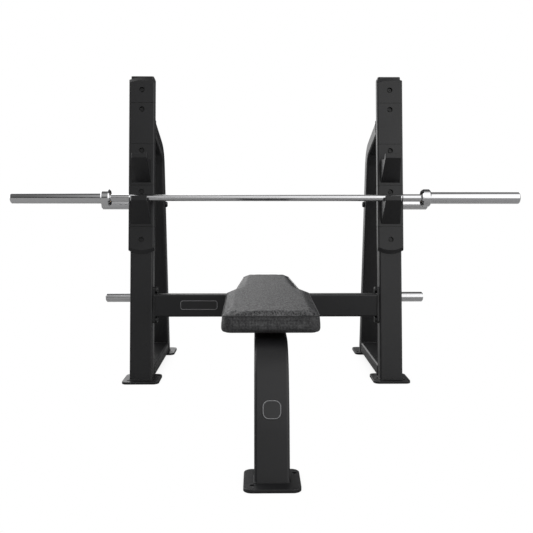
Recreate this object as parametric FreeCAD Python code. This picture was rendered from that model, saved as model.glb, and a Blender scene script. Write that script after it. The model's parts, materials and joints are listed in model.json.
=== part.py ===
import FreeCAD, Part
import math
import os

# Olympic bench press: two leaning side frames joined by a crossbeam, a padded
# flat bench on a curved spine, four plate-storage pegs, and a 2.2 m barbell
# that rests in the lower pair of hooks.
#
# Frame: +Z up, origin on the floor at the middle of the overall length and
# width.  -Y is the foot end of the bench, +Y the rear, X runs along the bar.
# Millimetres and degrees.

# ---------------------------------------------------------------- overall
OVERALL_LENGTH = 1848.0      # bench foot's front edge to the rear feet's rear edge
SIDE_FRAME_LENGTH = 723.0    # front foot's front edge to rear foot's rear edge
FRAME_SPACING = 1096.0       # centre plane to centre plane of the side frames
UPRIGHT_HEIGHT = 1340.0      # floor to the upright's highest edge

# ---------------------------------------------------------------- steel tube
TUBE_WIDTH = 100.0           # across the frame, along X
TUBE_DEPTH = 60.0            # uprights, rear legs and spine
TUBE_CORNER = 8.0
TUBE_WALL = 3.0
RAIL_HEIGHT = 50.0           # base rail
BEAM_HEIGHT = 100.0          # crossbeam
BEAM_DEPTH = 50.0

# ---------------------------------------------------------------- feet
FOOT_MARGIN = 30.0           # foot plate beyond the tube on each side
FOOT_LENGTH = 150.0
FOOT_THICKNESS = 10.0
FOOT_CORNER = 24.0
FOOT_EDGE_ROUND = 2.0
ANCHOR_HOLE_RADIUS = 6.0
ANCHOR_INSET_X = 25.0        # hole centre from the foot's side edge
ANCHOR_BESIDE_TUBE = 15.0    # the same for the hole next to a rail or a leaning tube
ANCHOR_INSET_Y = 32.0        # hole centre from the foot's end edge

# ---------------------------------------------------------------- side frame
UPRIGHT_LEAN = 7.46          # leans back
UPRIGHT_SETBACK = 32.0       # front foot's front edge to the upright's face
REAR_LEG_LEAN = 6.7          # leans forward
REAR_LEG_SETBACK = 60.5      # rear foot's rear edge to the leg's rear face
REAR_ARM_LEAN = 70.4         # upper arm's heading from the vertical
REAR_BEND_DROP = 314.0       # upright's top down to where the leg's and arm's centre lines cross
REAR_BEND_RADIUS = 100.0     # centre line
CAP_THICKNESS = 5.0          # plastic plug in the upright's top
CAP_SKIRT = 18.0
CAP_WALL = 2.5
CAP_ROUND = 1.5
FIT_GAP = 0.2                # plugs, boards and liners against their seats

# ---------------------------------------------------------------- crossbeam
FLANGE_HEIGHT = 160.0
FLANGE_DEPTH = 50.0
FLANGE_THICKNESS = 8.0
FLANGE_CORNER = 10.0
BEAM_BOLT_SPACING = 132.0

# ---------------------------------------------------------------- fasteners
M16_SHANK = 8.0              # radius
M16_HEAD = 14.0              # button head
M16_HEAD_HEIGHT = 8.8
M16_HEAD_ROUND = 5.0
M16_SOCKET = 5.8             # half the socket's width across corners
M16_SOCKET_DEPTH = 5.0
M16_WASHER = 15.0
M16_WASHER_THICKNESS = 2.0
M16_NUT = 13.0               # half the width across corners
M16_NUT_HEIGHT = 12.0
M16_SIZES = (M16_SHANK, M16_HEAD, M16_HEAD_HEIGHT, M16_HEAD_ROUND, M16_SOCKET, M16_SOCKET_DEPTH)
M12_SHANK = 6.0
M12_HEAD = 9.0               # cylinder head
M12_HEAD_HEIGHT = 12.0
M12_HEAD_ROUND = 1.0
M12_SOCKET = 5.8
M12_SOCKET_DEPTH = 6.0
M12_NUT = 10.4
M12_NUT_HEIGHT = 10.0
M12_SIZES = (M12_SHANK, M12_HEAD, M12_HEAD_HEIGHT, M12_HEAD_ROUND, M12_SOCKET, M12_SOCKET_DEPTH)
M8_SHANK = 4.0
M8_HEAD = 6.5
M8_HEAD_HEIGHT = 5.0
M8_HEAD_ROUND = 0.5
M8_SOCKET = 3.2
M8_SOCKET_DEPTH = 3.0
M8_INSERT = 6.0
M8_INSERT_LENGTH = 16.0
M8_SIZES = (M8_SHANK, M8_HEAD, M8_HEAD_HEIGHT, M8_HEAD_ROUND, M8_SOCKET, M8_SOCKET_DEPTH)
INSERT_FLANGE = 2.0          # rivet nut's flange, its width and its thickness
HOLE_CLEARANCE = 0.5         # radius of a bolt hole over the shank's
THREAD_CLEARANCE = 0.05
TIP_CLEARANCE = 1.0          # screw's tip short of the board's upper face

# ---------------------------------------------------------------- bench
SPINE_SETBACK = 44.0         # bench foot's front edge to the leg's front face
SPINE_FOOT_LEAN = 13.0       # lower leg leans back
SPINE_KNEE_LEAN = 28.4       # heading where the gentle bend becomes the tight one
SPINE_GENTLE_RADIUS = 570.0
SPINE_TIGHT_RADIUS = 125.0
SPINE_FLANGE_THICKNESS = 8.0
SPINE_FLANGE_HEIGHT = 98.0
SPINE_BOLT_SPACING_X = 70.0
SPINE_BOLT_INSET = 17.0      # bolt's centre above the crossbeam's lower edge
PAD_FRONT_SETBACK = 211.0    # leg foot's front edge to the pad's front edge
PAD_HEAD_OVERHANG = 80.4     # crossbeam's centre to the pad's head end
PAD_WIDTH_FRONT = 296.0
PAD_WIDTH_SHOULDER = 308.0
PAD_WIDTH_NECK = 248.0
PAD_WIDTH_HEAD = 204.0
PAD_SHOULDER_AT = 568.0      # from the pad's head end
PAD_NECK_AT = 453.0
PAD_CORNER = 30.0
PAD_HEAD_CORNER = 26.0
PAD_TOP_HEIGHT = 460.0       # floor to the flat of the pad
PAD_THICKNESS = 62.0
PAD_BEVEL_WIDTH = 30.0
PAD_BEVEL_DROP = 10.0
BOARD_INSET = 12.0
BOARD_THICKNESS = 15.0
BRACKET_WIDTH = 40.0
BRACKET_LENGTH = 200.0
BRACKET_WALL = 4.0
BRACKET_HEIGHT = 17.0        # spine's top to the board
FRONT_BRACKET_AT = 330.0     # from the pad's front edge
REAR_BRACKET_AT = 66.6       # from the spine's flange
PAD_BOLT_SPREAD = 160.0

# ---------------------------------------------------------------- liners
LINER_FRONT = 12.0
LINER_SIDE = 6.8
LINER_WRAP = 18.0            # how far the sides reach back along the tube
LINER_CORNER = 7.0
LINER_SEAM = 1.0
LINER_TOP_GAP = 17.4         # upright's top down to the liner's end at the sides
LINER_TOP_SAGITTA = 12.0
LINER_SEAM_DROP = 120.9      # upright's top down to the highest seam
LINER_BOTTOM_RUN = 103.5     # lowest seam down to the liner's end at the sides
LINER_ABOVE_FLANGE = 160.3   # crossbeam's flange up to the liner's end at the sides
LINER_BOTTOM_SAGITTA = 16.0
LINER_BEVEL_RUN = 10.0
LINER_BEVEL_RISE = 16.0
SCREW_TOP_DROP = 63.4        # upright's top down to the highest screw
SCREW_BELOW_SEAM = 29.6
SCREW_BOTTOM_DROP = 56.7     # lowest seam down to the lowest screw
SCREW_RECESS_RADIUS = 12.0
SCREW_RECESS_DEPTH = 10.0

# ---------------------------------------------------------------- hooks
HOOK_SADDLE_BELOW_SEAM = 76.5
HOOK_REACH = 100.0           # hook's nose from the upright's face
HOOK_INSET = 8.0             # hook's side at the liner, in from the tube's side
HOOK_TAPER_INNER = 5.0       # narrowing at the nose, bench side
HOOK_TAPER_OUTER = 13.0      # narrowing at the nose, plate side
HOOK_LIP = 18.0              # lip's top above the saddle
HOOK_NOSE = 20.0             # height of the nose's front strip
HOOK_TOE_GAP = 11.5          # root of the sloping face above the seam below it
HOOK_LIP_TOP = 8.0           # thickness of the lip's top
HOOK_LIP_ROOT = 22.0         # thickness of the lip where it meets the saddle
HOOK_EDGE_ROUND = 2.0

# ---------------------------------------------------------------- barbell
BAR_LENGTH = 2200.0
SHAFT_RADIUS = 14.0
SHOULDER_STEP = 2.0          # shaft's thicker ends outside the hooks, over its radius
SHOULDER_TAPER = 4.0
SHOULDER_INSET = 10.0        # start of the thicker end, in from the tube's outer side
COLLAR_CLEARANCE = 75.5      # tube's outer side to the collar's inner face
COLLAR_WIDTH = 37.0
COLLAR_RADIUS = 37.5
COLLAR_INNER_CHAMFER = 5.0
COLLAR_OUTER_CHAMFER = 5.0
SLEEVE_RADIUS = 25.0
BUSHING_WALL = 5.0           # sleeve's bore over the shaft's radius
COLLAR_SEAT_STEP = 1.0       # sleeve turned down under the collar
SLEEVE_CHAMFER = 3.0
BUSHING_LENGTH = 60.0
BUSHING_INSET = 6.0          # inner bushing's end in from the collar's face
RUNNING_CLEARANCE = 0.06
BAR_BEHIND_NOSE = 45.0       # hook's nose to the bar's axis
SADDLE_GAP = 0.3
END_PLUG_LENGTH = 14.0
END_PLUG_INSET = 1.5         # plug's rim in from the sleeve's end
END_PLUG_DISH = 1.5          # plug's face in from its rim
END_PLUG_RIM = 2.5
RING_WIDTH = 4.0
RING_GROOVE = 2.0
END_PLAY = 1.0

# ---------------------------------------------------------------- storage pegs
PEG_RADIUS = 25.0
PEG_LENGTH = 214.0
PEG_WALL = 4.0
PEG_BASE = 14.0
PEG_CHAMFER = 5.0
PEG_CAP_LENGTH = 12.0
PEG_CAP_BEVEL = 1.5
UPPER_PEG_DROP = 567.4       # upright's top down to the upper peg's axis
LOWER_PEG_HEIGHT = 298.7
PEG_BOLT_GRIP = 10.0         # bolt's end inside the peg's base

# ---------------------------------------------------------------- badges
BADGE_THICKNESS = 1.5
BADGE_EDGE = 0.6
BEAM_BADGE_LENGTH = 164.0
BEAM_BADGE_HEIGHT = 42.0
BEAM_BADGE_CORNER = 12.0
BEAM_BADGE_X = -296.0
BEAM_BADGE_RISE = 3.0        # badge's centre above the crossbeam's
LEG_BADGE_SIZE = 53.0
LEG_BADGE_CORNER = 18.0
LEG_BADGE_HEIGHT = 204.0

# ---------------------------------------------------------------- derived
V = FreeCAD.Vector
REAR_EDGE = OVERALL_LENGTH / 2
FRONT_EDGE = -OVERALL_LENGTH / 2
FRAME_X = FRAME_SPACING / 2
HALF_TUBE = TUBE_WIDTH / 2
HALF_DEPTH = TUBE_DEPTH / 2
LEAN = math.radians(UPRIGHT_LEAN)
FRONT_FOOT_Y = REAR_EDGE - SIDE_FRAME_LENGTH
UPRIGHT_Y = FRONT_FOOT_Y + UPRIGHT_SETBACK
UPRIGHT_TOP = UPRIGHT_HEIGHT / math.cos(LEAN)
FOOT_WIDTH = TUBE_WIDTH + 2 * FOOT_MARGIN
REAR_BEND_HEIGHT = UPRIGHT_HEIGHT - REAR_BEND_DROP
PAD_BOTTOM = PAD_TOP_HEIGHT - PAD_THICKNESS
BEAM_TOP = PAD_BOTTOM - BRACKET_HEIGHT
BEAM_CENTRE_HEIGHT = BEAM_TOP - BEAM_HEIGHT / 2
BEAM_INNER = FRAME_X - HALF_TUBE - FLANGE_THICKNESS
BEAM_Y = UPRIGHT_Y + BEAM_CENTRE_HEIGHT * math.tan(LEAN) + HALF_DEPTH / math.cos(LEAN)
BEAM_ALONG = BEAM_CENTRE_HEIGHT / math.cos(LEAN) + HALF_DEPTH * math.tan(LEAN)
SPINE_HEIGHT = BEAM_TOP - HALF_DEPTH
SPINE_END = BEAM_Y - BEAM_DEPTH / 2 - SPINE_FLANGE_THICKNESS
PAD_FRONT = FRONT_EDGE + PAD_FRONT_SETBACK
PAD_HEAD = BEAM_Y + PAD_HEAD_OVERHANG
FRONT_BRACKET_Y = PAD_FRONT + FRONT_BRACKET_AT
REAR_BRACKET_Y = SPINE_END - REAR_BRACKET_AT
LINER_TOP_END = UPRIGHT_TOP - LINER_TOP_GAP
LINER_BOTTOM_END = BEAM_ALONG + FLANGE_HEIGHT / 2 + LINER_ABOVE_FLANGE
TOP_SEAM = UPRIGHT_TOP - LINER_SEAM_DROP
LINER_PITCH = (TOP_SEAM - LINER_BOTTOM_END - LINER_BOTTOM_RUN) / 3
SEAMS = [TOP_SEAM - LINER_PITCH * step for step in range(4)]
SADDLES = [SEAMS[1] - HOOK_SADDLE_BELOW_SEAM, SEAMS[2] - HOOK_SADDLE_BELOW_SEAM]
SCREWS = [seam - SCREW_BELOW_SEAM for seam in SEAMS[:3]]
SCREWS = [UPRIGHT_TOP - SCREW_TOP_DROP] + SCREWS + [SEAMS[3] - SCREW_BOTTOM_DROP]
HOOK_HALF_WIDTH = HALF_TUBE - HOOK_INSET
HOOK_DROP = LINER_PITCH - HOOK_SADDLE_BELOW_SEAM - HOOK_TOE_GAP
BAR_OUT = HOOK_REACH - BAR_BEHIND_NOSE
BAR_ALONG = SADDLES[1] + (SHAFT_RADIUS + SADDLE_GAP) / math.cos(LEAN)
BAR_Y = UPRIGHT_Y + BAR_ALONG * math.sin(LEAN) - BAR_OUT * math.cos(LEAN)
BAR_Z = BAR_ALONG * math.cos(LEAN) + BAR_OUT * math.sin(LEAN)
BAR_END = BAR_LENGTH / 2
SHOULDER_RADIUS = SHAFT_RADIUS + SHOULDER_STEP
SHOULDER_FROM = FRAME_X + HALF_TUBE - SHOULDER_INSET
COLLAR_FROM = FRAME_X + HALF_TUBE + COLLAR_CLEARANCE
COLLAR_SEAT = SLEEVE_RADIUS - COLLAR_SEAT_STEP
SLEEVE_BORE = SHAFT_RADIUS + BUSHING_WALL
PEG_HEIGHTS = (UPRIGHT_HEIGHT - UPPER_PEG_DROP, LOWER_PEG_HEIGHT)
BIG = 4000.0                 # beyond every piece
SLIVER = 0.01


# ---------------------------------------------------------------- helpers
def box(x0, x1, y0, y1, z0, z1):
    return Part.makeBox(x1 - x0, y1 - y0, z1 - z0, V(x0, y0, z0))


def rod_x(radius, x0, x1, y, z):
    return Part.makeCylinder(radius, x1 - x0, V(x0, y, z), V(1, 0, 0))


def rod_y(radius, y0, y1, x, z):
    return Part.makeCylinder(radius, y1 - y0, V(x, y0, z), V(0, 1, 0))


def rod_z(radius, z0, z1, x, y):
    return Part.makeCylinder(radius, z1 - z0, V(x, y, z0), V(0, 0, 1))


def hex_rod(corner_radius, length, start, direction):
    """Hexagonal prism from start along direction."""
    points = []
    for corner in range(7):
        angle = math.radians(60 * corner)
        points.append(V(corner_radius * math.cos(angle), corner_radius * math.sin(angle), 0))
    prism = Part.Face(Part.makePolygon(points)).extrude(V(0, 0, length))
    turn = FreeCAD.Rotation(V(0, 0, 1), direction)
    prism.Placement = FreeCAD.Placement(start, turn)
    return prism


def prism_x(points, x0, x1):
    """Extrude a closed (y, z) outline along X."""
    corners = [V(x0, y, z) for y, z in points]
    face = Part.Face(Part.makePolygon(corners + corners[:1]))
    return face.extrude(V(x1 - x0, 0, 0))


def turned_x(points):
    """Revolve a closed (x, r) outline about the X axis."""
    corners = [V(x, r, 0) for x, r in points]
    face = Part.Face(Part.makePolygon(corners + corners[:1]))
    return face.revolve(V(0, 0, 0), V(1, 0, 0), 360)


def edges_along(shape, direction):
    """Straight edges parallel to a direction."""
    found = []
    for edge in shape.Edges:
        if edge.Curve.TypeId != "Part::GeomLine":
            continue
        if abs(edge.Curve.Direction.dot(direction)) > 0.9999:
            found.append(edge)
    return found


def mirrored(shape):
    return shape.mirror(V(0, 0, 0), V(1, 0, 0))


def leaning(shape, x, y, degrees):
    """Place a shape built about a foot point: tilt it back about X, then move it."""
    placed = shape.copy()
    turn = FreeCAD.Rotation(V(1, 0, 0), -degrees)
    placed.Placement = FreeCAD.Placement(V(x, y, 0), turn).multiply(placed.Placement)
    return placed


def on_upright(shape):
    """From the right upright's own frame (X out, Y behind its face, Z along it)."""
    return leaning(shape, FRAME_X, UPRIGHT_Y, UPRIGHT_LEAN)


def rounded_block(width, depth, corner, z0, z1):
    """Bar with rounded long edges: X centred, Y from 0 to depth."""
    block = box(-width / 2, width / 2, 0, depth, z0, z1)
    return block.makeFillet(corner, edges_along(block, V(0, 0, 1)))


def straight_tube(width, depth, z0, z1):
    outer = rounded_block(width, depth, TUBE_CORNER, z0, z1)
    inside = (width - 2 * TUBE_WALL, depth - 2 * TUBE_WALL, TUBE_CORNER - TUBE_WALL)
    inner = rounded_block(*inside, z0 - 1, z1 + 1)
    inner.translate(V(0, TUBE_WALL, 0))
    return outer.cut(inner)


def rounded_plate(width, length, thickness, corner):
    """Flat plate with its lower face on z = 0, centred on X, Y from 0 to length."""
    plate = box(-width / 2, width / 2, 0, length, 0, thickness)
    return plate.makeFillet(corner, edges_along(plate, V(0, 0, 1)))


def heading_vector(degrees):
    """Unit vector in the YZ plane, measured from +Z towards +Y."""
    angle = math.radians(degrees)
    return V(0, math.sin(angle), math.cos(angle))


def walk(start, heading, steps):
    """Tangent lines and arcs in the YZ plane.

    A step is ("line", length) or ("arc", radius, new heading).
    """
    edges = []
    here = start
    for step in steps:
        if step[0] == "line":
            there = here + heading_vector(heading) * step[1]
            edges.append(Part.makeLine(here, there))
        else:
            radius, new_heading = step[1], step[2]
            side = 1 if new_heading > heading else -1
            centre = here + heading_vector(heading + 90 * side) * radius
            middle = centre - heading_vector((heading + new_heading) / 2 + 90 * side) * radius
            there = centre - heading_vector(new_heading + 90 * side) * radius
            edges.append(Part.Arc(here, middle, there).toShape())
            heading = new_heading
        here = there
    return Part.Wire(edges), here


def swept_block(path, start, heading, width, depth, corner):
    """Sweep a rounded rectangle along a path in the YZ plane."""
    profile = rounded_plate(width, depth, 1.0, corner)
    profile.translate(V(0, -depth / 2, 0))
    outline = [face for face in profile.Faces if face.normalAt(0, 0).z < -0.99][0].OuterWire
    turn = FreeCAD.Placement(start, FreeCAD.Rotation(V(1, 0, 0), -heading))
    outline.Placement = turn.multiply(outline.Placement)
    return path.makePipeShell([outline], True, False)


def bent_tube(start, heading, steps):
    path, end = walk(start, heading, steps)
    outer = swept_block(path, start, heading, TUBE_WIDTH, TUBE_DEPTH, TUBE_CORNER)
    inside = (TUBE_WIDTH - 2 * TUBE_WALL, TUBE_DEPTH - 2 * TUBE_WALL, TUBE_CORNER - TUBE_WALL)
    inner = swept_block(path, start, heading, *inside)
    return outer.cut(inner)


def cap_screw(shank, head, head_height, edge, socket, socket_depth, length, start, direction):
    """Socket screw: start is under the head, direction points down the shank."""
    back = direction * -1
    screw = Part.makeCylinder(head, head_height, start, back)
    screw = screw.makeFillet(edge, [screw.Edges[0]])
    screw = screw.fuse(Part.makeCylinder(shank, length, start, direction))
    top = start + back * head_height
    return screw.cut(hex_rod(socket, socket_depth, top, direction)).removeSplitter()


def group(shapes):
    return Part.makeCompound(shapes)


def halves(shape):
    """A piece and its mirror image as one group."""
    return group([shape, mirrored(shape)])


# ---------------------------------------------------------------- side frames
def below_foot_top():
    return box(-BIG, BIG, -BIG, BIG, -BIG, FOOT_THICKNESS)


def beam_bolt_spots():
    """Distances along the upright of the crossbeam's bolts."""
    return [BEAM_ALONG - BEAM_BOLT_SPACING / 2, BEAM_ALONG + BEAM_BOLT_SPACING / 2]


def upright():
    tube = straight_tube(TUBE_WIDTH, TUBE_DEPTH, -TUBE_DEPTH, UPRIGHT_TOP - CAP_THICKNESS)
    for along in SCREWS:
        tube = tube.cut(rod_y(M8_INSERT, -1, TUBE_WALL + 1, 0, along))
    for along in beam_bolt_spots():
        tube = tube.cut(rod_x(M16_SHANK + HOLE_CLEARANCE, -HALF_TUBE - 1, 0, HALF_DEPTH, along))
    return on_upright(tube).cut(below_foot_top())


def upright_cap():
    plate = rounded_block(TUBE_WIDTH, TUBE_DEPTH, TUBE_CORNER, UPRIGHT_TOP - CAP_THICKNESS, UPRIGHT_TOP)
    top = [edge for edge in plate.Edges if edge.BoundBox.ZMin > UPRIGHT_TOP - 0.01]
    plate = plate.makeFillet(CAP_ROUND, top)
    inset = TUBE_WALL + FIT_GAP
    skirt_bottom = UPRIGHT_TOP - CAP_THICKNESS - CAP_SKIRT
    skirt = rounded_block(
        TUBE_WIDTH - 2 * inset, TUBE_DEPTH - 2 * inset, TUBE_CORNER - inset,
        skirt_bottom, UPRIGHT_TOP - CAP_THICKNESS,
    )
    hollow = box(
        -HALF_TUBE + inset + CAP_WALL, HALF_TUBE - inset - CAP_WALL,
        CAP_WALL, TUBE_DEPTH - 2 * inset - CAP_WALL,
        skirt_bottom - 1, UPRIGHT_TOP - CAP_THICKNESS,
    )
    skirt = skirt.cut(hollow)
    skirt.translate(V(0, inset, 0))
    return on_upright(plate.fuse(skirt))


def rear_leg_foot_y():
    """Centre line of the rear leg at floor level."""
    return REAR_EDGE - REAR_LEG_SETBACK - HALF_DEPTH / math.cos(math.radians(REAR_LEG_LEAN))


def rear_leg_centre_y(height):
    return rear_leg_foot_y() - height * math.tan(math.radians(REAR_LEG_LEAN))


def rear_leg():
    lean = math.radians(REAR_LEG_LEAN)
    start = V(FRAME_X, rear_leg_foot_y() + TUBE_DEPTH * math.tan(lean), -TUBE_DEPTH)
    tangent = REAR_BEND_RADIUS * math.tan(math.radians(REAR_ARM_LEAN - REAR_LEG_LEAN) / 2)
    straight = (REAR_BEND_HEIGHT + TUBE_DEPTH) / math.cos(lean) - tangent
    steps = [("line", straight), ("arc", REAR_BEND_RADIUS, -REAR_ARM_LEAN), ("line", SIDE_FRAME_LENGTH)]
    leg = bent_tube(start, -REAR_LEG_LEAN, steps)
    leg = leg.cut(below_foot_top())
    in_front = on_upright(box(-BIG, BIG, -BIG, TUBE_DEPTH, -BIG, BIG))
    leg = leg.cut(in_front)
    for height in PEG_HEIGHTS:
        y = rear_leg_centre_y(height)
        near = FRAME_X - HALF_TUBE - 1
        leg = leg.cut(rod_x(M16_SHANK + HOLE_CLEARANCE, near, near + TUBE_WIDTH + 2, y, height))
    return leg


def base_rail():
    outer = box(-HALF_TUBE, HALF_TUBE, UPRIGHT_Y, REAR_EDGE, FOOT_THICKNESS, FOOT_THICKNESS + RAIL_HEIGHT)
    outer = outer.makeFillet(TUBE_CORNER, edges_along(outer, V(0, 1, 0)))
    low = FOOT_THICKNESS + TUBE_WALL
    high = FOOT_THICKNESS + RAIL_HEIGHT - TUBE_WALL
    inner = box(-HALF_TUBE + TUBE_WALL, HALF_TUBE - TUBE_WALL, UPRIGHT_Y - 1, REAR_EDGE + 1, low, high)
    inner = inner.makeFillet(TUBE_CORNER - TUBE_WALL, edges_along(inner, V(0, 1, 0)))
    rail = outer.cut(inner)
    rail.translate(V(FRAME_X, 0, 0))
    in_front = on_upright(box(-BIG, BIG, -BIG, TUBE_DEPTH, -BIG, BIG))
    behind = leaning(box(-BIG, BIG, -HALF_DEPTH, BIG, -BIG, BIG), FRAME_X, rear_leg_foot_y(), -REAR_LEG_LEAN)
    return rail.cut(in_front).cut(behind)


def foot(hole_side, near_inset, far_inset):
    """Floor plate with two anchor holes on one diagonal.

    hole_side is +1 when the hole near y = 0 is on the +X side.  The insets are
    those of the hole near y = 0 and of the far one, from the plate's sides.
    """
    plate = rounded_plate(FOOT_WIDTH, FOOT_LENGTH, FOOT_THICKNESS, FOOT_CORNER)
    top = [edge for edge in plate.Edges if edge.BoundBox.ZMin > FOOT_THICKNESS - 0.01]
    plate = plate.makeFillet(FOOT_EDGE_ROUND, top)
    spots = [
        (hole_side * (FOOT_WIDTH / 2 - near_inset), ANCHOR_INSET_Y),
        (hole_side * (far_inset - FOOT_WIDTH / 2), FOOT_LENGTH - ANCHOR_INSET_Y),
    ]
    for x, y in spots:
        plate = plate.cut(rod_z(ANCHOR_HOLE_RADIUS, -1, FOOT_THICKNESS + 1, x, y))
    return plate


def placed_foot(x, y, plate):
    plate.translate(V(x, y, 0))
    return plate


# ---------------------------------------------------------------- crossbeam
def crossbeam():
    tube = straight_tube(BEAM_HEIGHT, BEAM_DEPTH, -BEAM_INNER, BEAM_INNER)
    turn = FreeCAD.Rotation(V(0, 1, 0), 90)
    tube.Placement = FreeCAD.Placement(V(0, BEAM_Y - BEAM_DEPTH / 2, BEAM_CENTRE_HEIGHT), turn)
    for x, z in spine_bolt_spots():
        tube = tube.cut(rod_y(M12_SHANK + HOLE_CLEARANCE, BEAM_Y - BEAM_DEPTH / 2 - 1, BEAM_Y, x, z))
    return tube


def beam_flange():
    plate = box(
        -HALF_TUBE - FLANGE_THICKNESS, -HALF_TUBE,
        HALF_DEPTH - FLANGE_DEPTH / 2, HALF_DEPTH + FLANGE_DEPTH / 2,
        BEAM_ALONG - FLANGE_HEIGHT / 2, BEAM_ALONG + FLANGE_HEIGHT / 2,
    )
    plate = plate.makeFillet(FLANGE_CORNER, edges_along(plate, V(1, 0, 0)))
    for along in beam_bolt_spots():
        plate = plate.cut(rod_x(M16_SHANK + HOLE_CLEARANCE, -BIG, 0, HALF_DEPTH, along))
    return on_upright(plate)


def beam_bolts():
    under_head = -HALF_TUBE - FLANGE_THICKNESS - M16_WASHER_THICKNESS
    grip = M16_WASHER_THICKNESS + FLANGE_THICKNESS + TUBE_WALL + M16_NUT_HEIGHT
    screws = []
    for along in beam_bolt_spots():
        start = V(under_head, HALF_DEPTH, along)
        screws.append(on_upright(cap_screw(*M16_SIZES, grip, start, V(1, 0, 0))))
    return screws


def washer_x(x0, y, z):
    ring = rod_x(M16_WASHER, x0, x0 + M16_WASHER_THICKNESS, y, z)
    return ring.cut(rod_x(M16_SHANK + HOLE_CLEARANCE, x0 - 1, x0 + M16_WASHER_THICKNESS + 1, y, z))


def beam_washers():
    x0 = -HALF_TUBE - FLANGE_THICKNESS - M16_WASHER_THICKNESS
    return [on_upright(washer_x(x0, HALF_DEPTH, along)) for along in beam_bolt_spots()]


def nut(corners, height, shank, start, direction):
    body = hex_rod(corners, height, start, direction)
    return body.cut(Part.makeCylinder(shank + THREAD_CLEARANCE, height, start, direction))


def beam_nuts():
    nuts = []
    for along in beam_bolt_spots():
        start = V(-HALF_TUBE + TUBE_WALL, HALF_DEPTH, along)
        nuts.append(on_upright(nut(M16_NUT, M16_NUT_HEIGHT, M16_SHANK, start, V(1, 0, 0))))
    return nuts


# ---------------------------------------------------------------- bench frame
def spine_start():
    """Leg's centre line on the foot plate's top, and the leg's straight length."""
    foot_lean = math.radians(SPINE_FOOT_LEAN)
    knee_lean = math.radians(SPINE_KNEE_LEAN)
    gentle_rise = SPINE_GENTLE_RADIUS * (math.sin(knee_lean) - math.sin(foot_lean))
    tight_rise = SPINE_TIGHT_RADIUS * (1 - math.sin(knee_lean))
    straight_rise = SPINE_HEIGHT - FOOT_THICKNESS - gentle_rise - tight_rise
    y = FRONT_EDGE + SPINE_SETBACK + HALF_DEPTH / math.cos(foot_lean)
    return y, straight_rise / math.cos(foot_lean)


def bench_spine():
    foot_y, straight = spine_start()
    extra = TUBE_DEPTH
    down = heading_vector(SPINE_FOOT_LEAN) * -extra
    start = V(0, foot_y, FOOT_THICKNESS) + down
    bends = [
        ("line", straight + extra),
        ("arc", SPINE_GENTLE_RADIUS, SPINE_KNEE_LEAN),
        ("arc", SPINE_TIGHT_RADIUS, 90.0),
    ]
    path, top = walk(start, SPINE_FOOT_LEAN, bends)
    run = SPINE_END - top.y
    spine = bent_tube(start, SPINE_FOOT_LEAN, bends + [("line", run)])
    return spine.cut(below_foot_top())


def spine_bolt_spots():
    """Bolts left and right of the spine's hollow end, below its centre line."""
    low = BEAM_TOP - BEAM_HEIGHT + SPINE_BOLT_INSET
    return [(-SPINE_BOLT_SPACING_X / 2, low), (SPINE_BOLT_SPACING_X / 2, low)]


def spine_flange():
    bottom = BEAM_CENTRE_HEIGHT - SPINE_FLANGE_HEIGHT / 2
    top = BEAM_CENTRE_HEIGHT + SPINE_FLANGE_HEIGHT / 2
    plate = box(-HALF_TUBE, HALF_TUBE, SPINE_END, SPINE_END + SPINE_FLANGE_THICKNESS, bottom, top)
    plate = plate.makeFillet(FLANGE_CORNER / 2, edges_along(plate, V(0, 1, 0)))
    for x, z in spine_bolt_spots():
        plate = plate.cut(rod_y(M12_SHANK + HOLE_CLEARANCE, SPINE_END - 1, BEAM_Y, x, z))
    return plate


def spine_bolts():
    grip = SPINE_FLANGE_THICKNESS + TUBE_WALL + M12_NUT_HEIGHT
    return [cap_screw(*M12_SIZES, grip, V(x, SPINE_END, z), V(0, 1, 0)) for x, z in spine_bolt_spots()]


def spine_nuts():
    y = BEAM_Y - BEAM_DEPTH / 2 + TUBE_WALL
    sizes = (M12_NUT, M12_NUT_HEIGHT, M12_SHANK)
    return [nut(*sizes, V(x, y, z), V(0, 1, 0)) for x, z in spine_bolt_spots()]


# ---------------------------------------------------------------- pad
def pad_outline(inset, height):
    """Closed pad outline at a height, drawn in by inset all round."""
    front = PAD_FRONT + inset
    head = PAD_HEAD - inset
    shoulder = PAD_HEAD - PAD_SHOULDER_AT
    neck = PAD_HEAD - PAD_NECK_AT
    right = [
        (PAD_WIDTH_FRONT / 2 - inset, front),
        (PAD_WIDTH_SHOULDER / 2 - inset, shoulder),
        (PAD_WIDTH_NECK / 2 - inset, neck),
        (PAD_WIDTH_HEAD / 2 - inset, head),
    ]
    left = [(-x, y) for x, y in reversed(right)]
    corners = [V(x, y, height) for x, y in right + left]
    return Part.Face(Part.makePolygon(corners + corners[:1]))


def rounded_pad_block(inset, bottom, top):
    block = pad_outline(inset, bottom).extrude(V(0, 0, top - bottom))
    for corner, end in ((PAD_CORNER, PAD_FRONT + inset), (PAD_HEAD_CORNER, PAD_HEAD - inset)):
        uprights = edges_along(block, V(0, 0, 1))
        uprights = [edge for edge in uprights if abs(edge.Vertexes[0].Point.y - end) < 1]
        block = block.makeFillet(corner - min(inset, corner / 2), uprights)
    return block


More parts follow.
